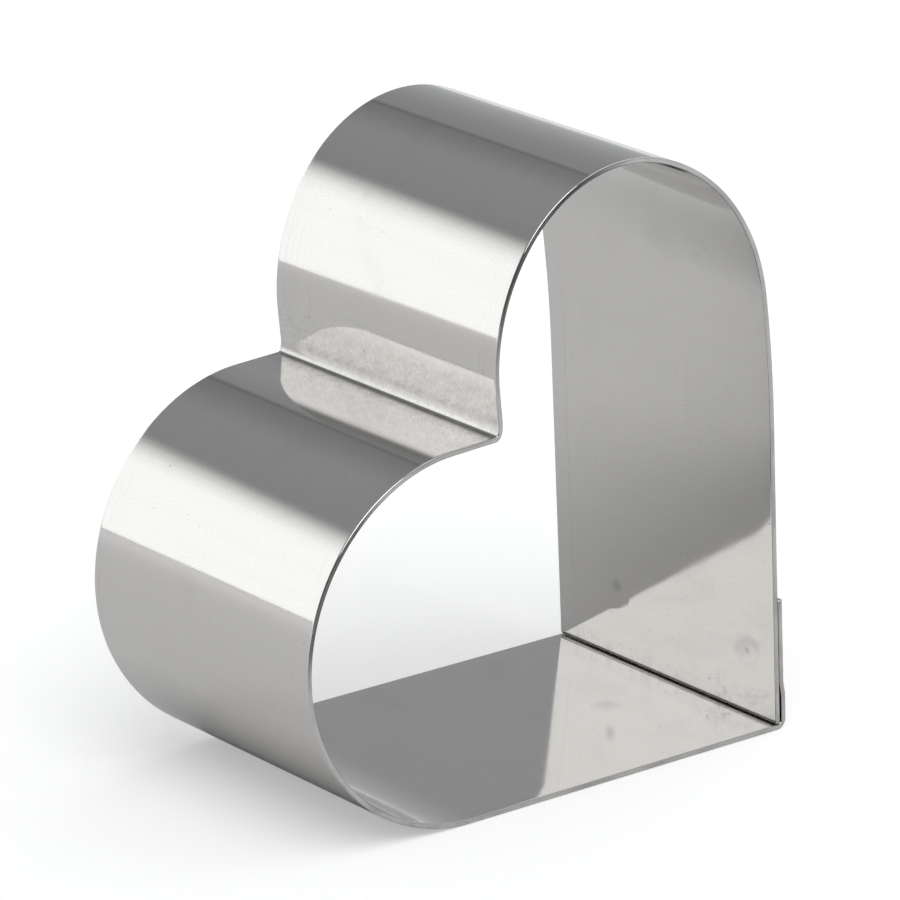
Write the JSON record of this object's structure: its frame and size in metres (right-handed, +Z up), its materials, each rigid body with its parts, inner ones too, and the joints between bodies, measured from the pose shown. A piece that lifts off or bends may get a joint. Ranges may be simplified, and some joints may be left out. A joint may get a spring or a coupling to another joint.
{
  "type": "cookie cutter",
  "caption": "Heart-shaped cookie cutter bent from a deep strip of thin stainless sheet, folded at the dip and lapped and spot-welded at the tip.",
  "frame": {"origin": "middle of the box round the cutter, at the height of the base's outer face that it stands on", "axes": "+X along the base towards the tip, +Y across the strip from the front rim to the rear rim, +Z up"},
  "size_m": [0.087, 0.045, 0.0877],
  "materials": {
    "sheet": "bright cold-rolled stainless sheet, with fine handling scratches and smudges",
    "weld": "fused stainless, grey with a faint straw heat tint"
  },
  "bodies": {
    "root": {"strip": "sheet", "spot_weld_front": "weld", "spot_weld_rear": "weld"}
  },
  "joints": []
}
